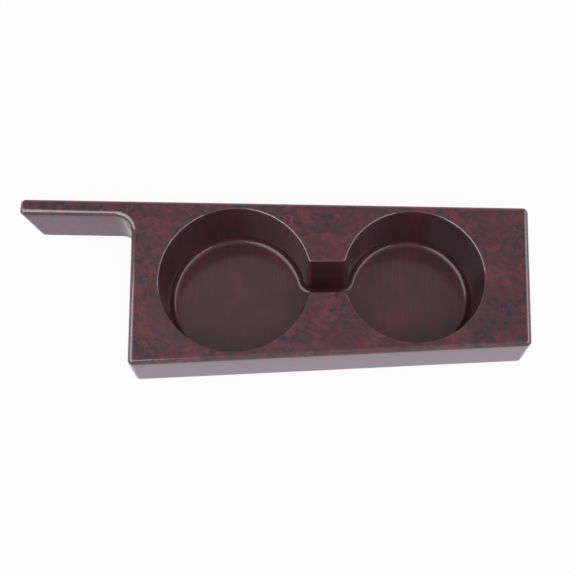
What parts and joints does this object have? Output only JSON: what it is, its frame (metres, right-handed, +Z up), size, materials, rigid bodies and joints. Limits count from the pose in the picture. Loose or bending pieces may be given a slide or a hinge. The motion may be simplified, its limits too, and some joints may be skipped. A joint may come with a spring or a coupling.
{
  "type": "car cup holder",
  "caption": "Moulded cup holder for a car console: large and small tapered cups joined by a channel, skirted top plate and a narrow side arm.",
  "frame": {"origin": "centre of the bounding box in plan, at the underside of the cups, on which the part rests", "axes": "+X along the length, away from the arm's end; +Y towards the straight back edge; +Z up, out of the cups"},
  "size_m": [0.2578, 0.0874, 0.0344],
  "materials": {
    "holder_body": "gloss, with a dark maroon burl print on the top plate and its edges"
  },
  "bodies": {
    "root": {"holder_body": "holder_body"}
  },
  "joints": []
}
